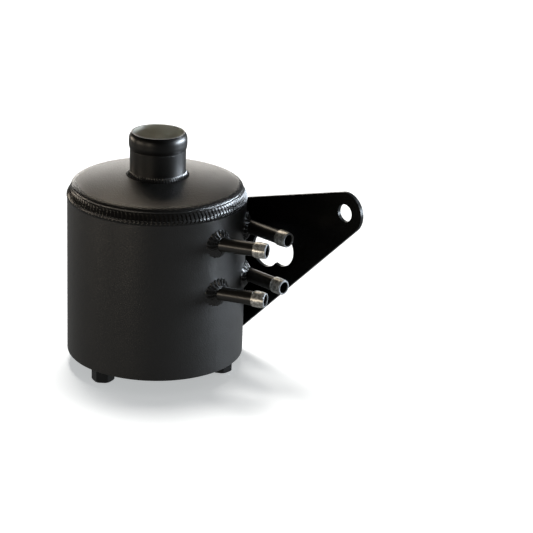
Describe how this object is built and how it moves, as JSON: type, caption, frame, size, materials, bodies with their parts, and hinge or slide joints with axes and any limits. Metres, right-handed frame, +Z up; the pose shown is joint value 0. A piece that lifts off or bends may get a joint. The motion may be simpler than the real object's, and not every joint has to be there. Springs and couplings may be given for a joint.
{
  "type": "oil catch can",
  "caption": "Round welded tank with an open beaded neck on its cap, hose nipples on one side, a flat lightened mounting ear at the back and hexagonal feet.",
  "frame": {"origin": "on the tank's axis, on the floor plane under the feet", "axes": "+Z up along the tank's axis to the neck; the bracket plate is parallel to XZ on the +Y side and reaches out along +X"},
  "size_m": [0.2394, 0.1561, 0.2089],
  "materials": {
    "coated_tank": "black satin powder coat with a fine texture",
    "gloss_black": "smooth glossy black; the bulged ends of the nipples and the inside of the neck are bare metal",
    "bracket_black": "smooth satin black",
    "foot_black": "glossy black",
    "bare_alloy": "bare mill finish"
  },
  "bodies": {
    "root": {"tank_tube": "coated_tank", "top_cap": "coated_tank", "cap_weld": "coated_tank", "neck_weld": "coated_tank", "base_weld": "coated_tank", "front_upper_weld": "coated_tank", "front_lower_weld": "coated_tank", "rear_upper_weld": "coated_tank", "rear_lower_weld": "coated_tank", "bracket_outer_weld": "coated_tank", "bracket_inner_weld": "coated_tank", "neck_tube": "gloss_black", "front_upper_nipple": "gloss_black", "front_lower_nipple": "gloss_black", "rear_upper_nipple": "gloss_black", "rear_lower_nipple": "gloss_black", "mount_bracket": "bracket_black", "front_foot": "foot_black", "right_foot": "foot_black", "left_foot": "foot_black", "bottom_plate": "coated_tank", "front_bung": "bare_alloy", "right_bung": "bare_alloy", "left_bung": "bare_alloy", "bung_welds": "bare_alloy", "baffle_plate": "bare_alloy"}
  },
  "joints": []
}
